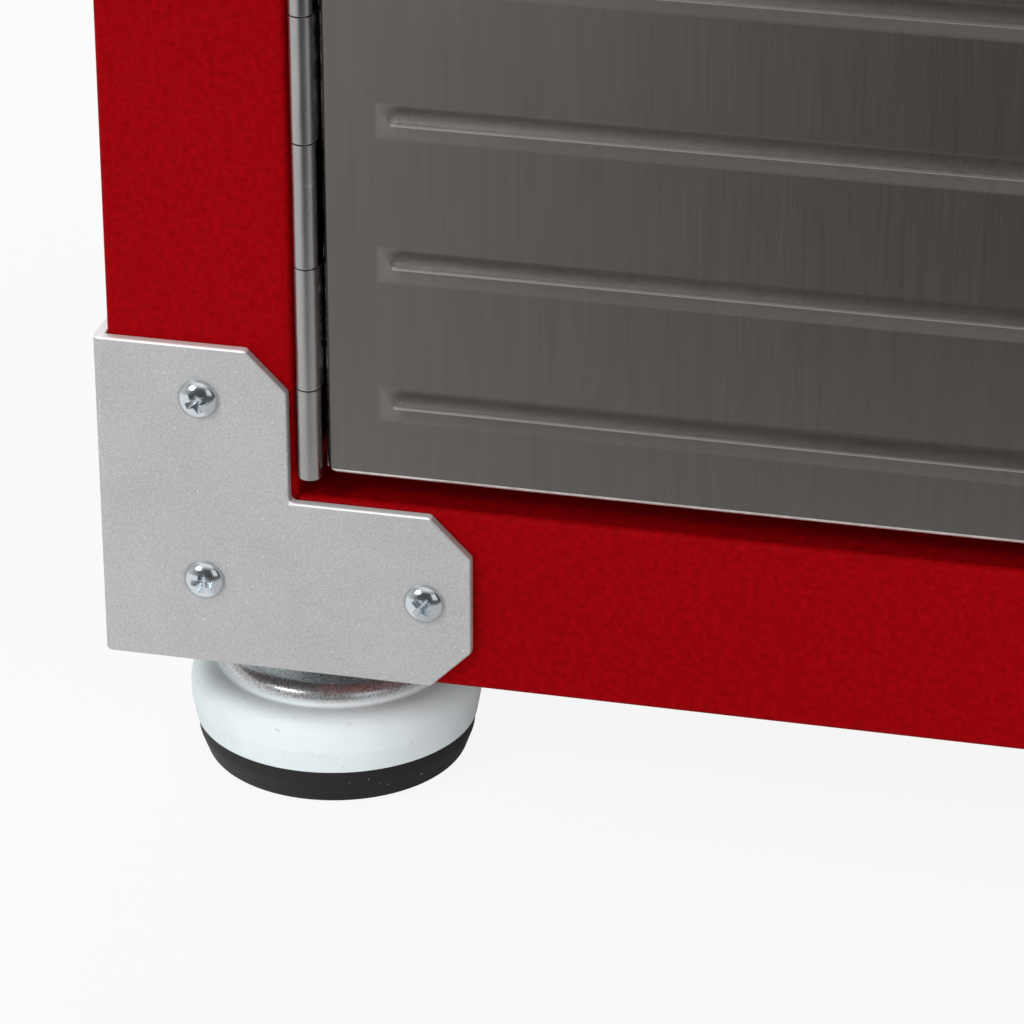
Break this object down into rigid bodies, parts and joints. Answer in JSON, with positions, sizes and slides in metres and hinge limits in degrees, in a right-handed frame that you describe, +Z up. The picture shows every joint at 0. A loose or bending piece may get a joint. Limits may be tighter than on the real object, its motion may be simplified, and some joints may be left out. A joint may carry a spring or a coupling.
{
  "type": "two-door tool cabinet",
  "caption": "Floor-standing steel tool cabinet with ribbed stainless doors on continuous hinges, corner braces, shelves and levelling feet.",
  "frame": {"origin": "on the floor at the middle of the whole outline, feet drawn up", "axes": "+X to the right seen from the front, +Y from the doors to the back, +Z up"},
  "size_m": [0.7214, 0.4997, 0.9126],
  "materials": {
    "red_paint": "fine textured powder coat",
    "silver_paint": "fine metallic silver coat",
    "stainless": "vertical brushed grain",
    "hinge_steel": "smooth stainless",
    "zinc_plate": "bright zinc",
    "bright_nickel": "polished",
    "black_rubber": "matt",
    "black_plastic": "matt"
  },
  "bodies": {
    "cabinet": {"left_side_panel": "red_paint", "right_side_panel": "red_paint", "back_panel": "red_paint", "top_panel": "red_paint", "floor_pan": "red_paint", "bottom_front_rail": "red_paint", "top_front_rail": "red_paint", "foot_plates": "zinc_plate", "foot_weld_nuts": "zinc_plate", "foot_jam_nuts": "zinc_plate", "brace_screws": "zinc_plate", "left_frame_hinge_leaf": "hinge_steel", "right_frame_hinge_leaf": "hinge_steel", "left_hinge_pin": "hinge_steel", "right_hinge_pin": "hinge_steel", "frame_hinge_rivets": "zinc_plate", "left_shelf_uprights": "zinc_plate", "right_shelf_uprights": "zinc_plate", "lower_shelf_clips": "zinc_plate", "upper_shelf_clips": "zinc_plate", "magnetic_catches": "black_plastic", "front_left_corner_brace": "silver_paint", "front_right_corner_brace": "silver_paint", "rear_left_corner_brace": "silver_paint", "rear_right_corner_brace": "silver_paint"},
    "left_door": {"left_door_skin": "stainless", "left_door_inner_pan": "red_paint", "left_door_hinge_leaf": "hinge_steel", "left_door_hinge_rivets": "zinc_plate", "left_door_handle": "stainless", "left_handle_screws": "zinc_plate", "left_door_strike": "zinc_plate"},
    "right_door": {"right_door_skin": "stainless", "right_door_inner_pan": "red_paint", "right_door_hinge_leaf": "hinge_steel", "right_door_hinge_rivets": "zinc_plate", "right_door_handle": "stainless", "right_handle_screws": "zinc_plate", "right_door_strike": "zinc_plate", "lock_barrel": "bright_nickel", "lock_nut": "bright_nickel"},
    "lock": {"lock_plug": "bright_nickel", "lock_cam": "zinc_plate", "cam_screw": "zinc_plate"},
    "lower_shelf_body": {"lower_shelf": "red_paint"},
    "upper_shelf_body": {"upper_shelf": "red_paint"},
    "front_left_stud": {"front_left_foot_stud": "zinc_plate"},
    "front_left_foot": {"front_left_foot_cup": "zinc_plate", "front_left_foot_pad": "black_rubber"},
    "front_right_stud": {"front_right_foot_stud": "zinc_plate"},
    "front_right_foot": {"front_right_foot_cup": "zinc_plate", "front_right_foot_pad": "black_rubber"},
    "rear_left_stud": {"rear_left_foot_stud": "zinc_plate"},
    "rear_left_foot": {"rear_left_foot_cup": "zinc_plate", "rear_left_foot_pad": "black_rubber"},
    "rear_right_stud": {"rear_right_foot_stud": "zinc_plate"},
    "rear_right_foot": {"rear_right_foot_cup": "zinc_plate", "rear_right_foot_pad": "black_rubber"}
  },
  "joints": [
    {"name": "left_door_hinge", "type": "hinge", "parent": "cabinet", "child": "left_door", "pos_m": [-0.3148, -0.21285, 0.474], "axis": [0, 0, -1], "range_deg": [0, 150]},
    {"name": "right_door_hinge", "type": "hinge", "parent": "cabinet", "child": "right_door", "pos_m": [0.3148, -0.21285, 0.474], "axis": [0, 0, 1], "range_deg": [0, 150]},
    {"name": "lock_turn", "type": "hinge", "parent": "right_door", "child": "lock", "pos_m": [0.042, -0.21185, 0.83775], "axis": [0, -1, 0], "range_deg": [0, 90]},
    {"name": "lower_shelf_lift", "type": "slide", "parent": "cabinet", "child": "lower_shelf_body", "axis": [0, 0, 1], "range_m": [0, 0.025]},
    {"name": "upper_shelf_lift", "type": "slide", "parent": "cabinet", "child": "upper_shelf_body", "axis": [0, 0, 1], "range_m": [0, 0.025]},
    {"name": "front_left_foot_height", "type": "slide", "parent": "cabinet", "child": "front_left_stud", "axis": [0, 0, -1], "range_m": [0, 0.018]},
    {"name": "front_left_foot_swivel", "type": "hinge", "parent": "front_left_stud", "child": "front_left_foot", "pos_m": [-0.3207, -0.17655, 0.02], "axis": [0, 0, 1], "continuous": true},
    {"name": "front_right_foot_height", "type": "slide", "parent": "cabinet", "child": "front_right_stud", "axis": [0, 0, -1], "range_m": [0, 0.018]},
    {"name": "front_right_foot_swivel", "type": "hinge", "parent": "front_right_stud", "child": "front_right_foot", "pos_m": [0.3207, -0.17655, 0.02], "axis": [0, 0, 1], "continuous": true},
    {"name": "rear_left_foot_height", "type": "slide", "parent": "cabinet", "child": "rear_left_stud", "axis": [0, 0, -1], "range_m": [0, 0.018]},
    {"name": "rear_left_foot_swivel", "type": "hinge", "parent": "rear_left_stud", "child": "rear_left_foot", "pos_m": [-0.3207, 0.20985, 0.02], "axis": [0, 0, 1], "continuous": true},
    {"name": "rear_right_foot_height", "type": "slide", "parent": "cabinet", "child": "rear_right_stud", "axis": [0, 0, -1], "range_m": [0, 0.018]},
    {"name": "rear_right_foot_swivel", "type": "hinge", "parent": "rear_right_stud", "child": "rear_right_foot", "pos_m": [0.3207, 0.20985, 0.02], "axis": [0, 0, 1], "continuous": true}
  ]
}
